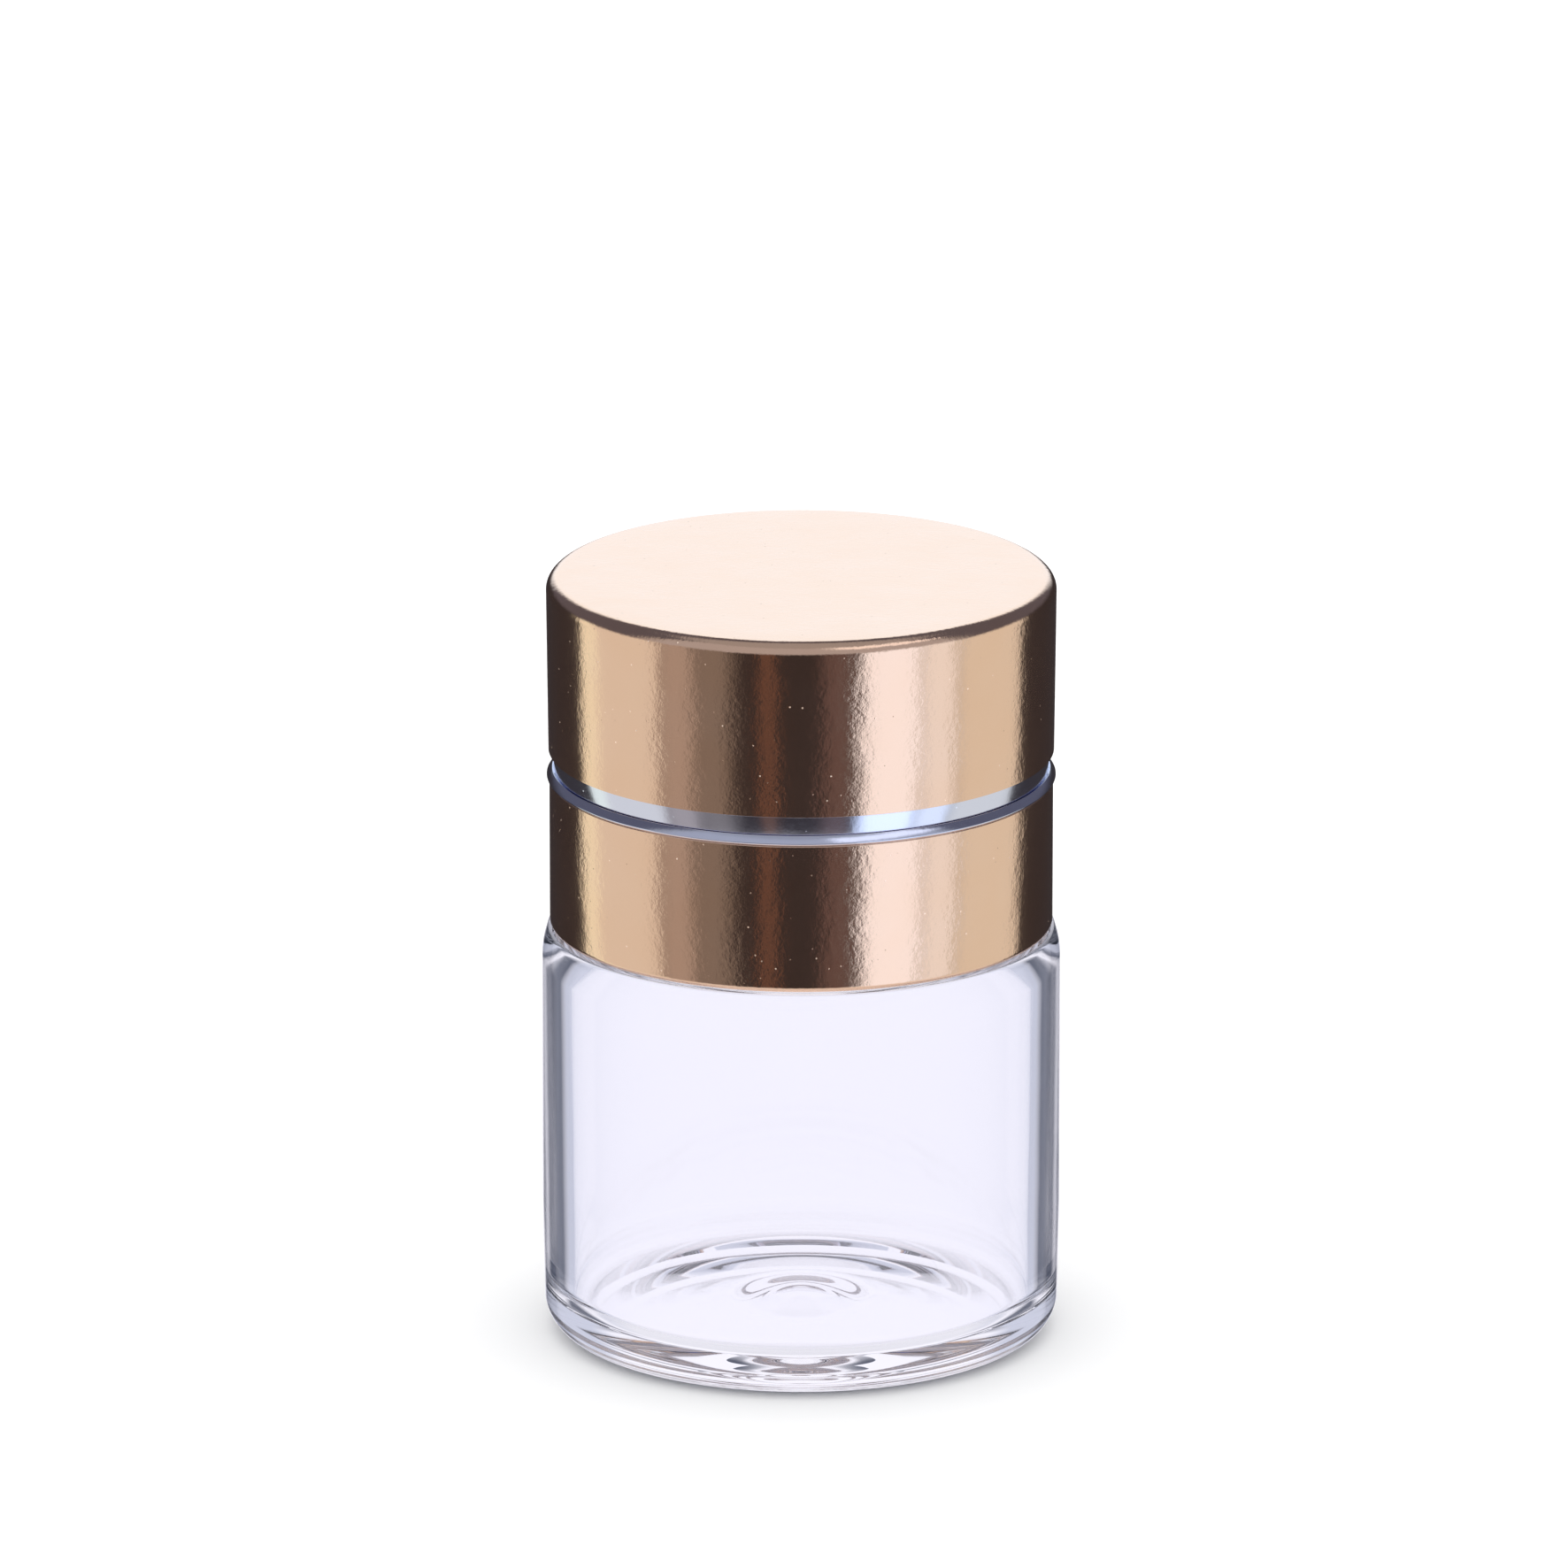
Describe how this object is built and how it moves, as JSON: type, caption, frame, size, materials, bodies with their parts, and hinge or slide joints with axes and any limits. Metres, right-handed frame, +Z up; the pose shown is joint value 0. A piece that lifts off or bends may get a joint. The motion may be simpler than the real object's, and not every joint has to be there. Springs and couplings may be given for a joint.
{
  "type": "sample vial",
  "caption": "Small round glass sample vial with a bright silver threaded neck ring, a rose-gold metal collar sleeve and a matching metal-shelled screw cap.",
  "frame": {"origin": "on the vial's axis, at the level of the surface that it stands on", "axes": "+Z up along the axis of the vial, +X to the right and +Y to the back; the part is round about Z apart from its threads"},
  "size_m": [0.022, 0.022, 0.0331],
  "materials": {
    "clear_glass": "clear polished drawn glass",
    "clear_plastic": "clear glossy moulded plastic",
    "silver_plate": "moulded plastic, vacuum-plated bright silver",
    "rose_gold_metal": "polished, rose-gold anodised, finely pitted",
    "foam_liner": "fine closed-cell foam"
  },
  "bodies": {
    "vial": {"glass_vial": "clear_glass", "collar_ring": "silver_plate", "collar_sleeve": "rose_gold_metal"},
    "cap_rise": {"cap_liner": "foam_liner"},
    "cap": {"cap_insert": "clear_plastic", "cap_shell": "rose_gold_metal"}
  },
  "joints": [
    {"name": "cap_lift", "type": "slide", "parent": "vial", "child": "cap_rise", "axis": [0, 0, 1], "range_m": [0, 0.008]},
    {"name": "cap_turn", "type": "hinge", "parent": "cap_rise", "child": "cap", "pos_m": [0, 0, 0.028], "axis": [0, 0, 1], "range_deg": [0, 1440]}
  ],
  "couplings": [
    {"joint": "cap_lift", "follows": "cap_turn", "m_per_rad": 0.00031831}
  ]
}
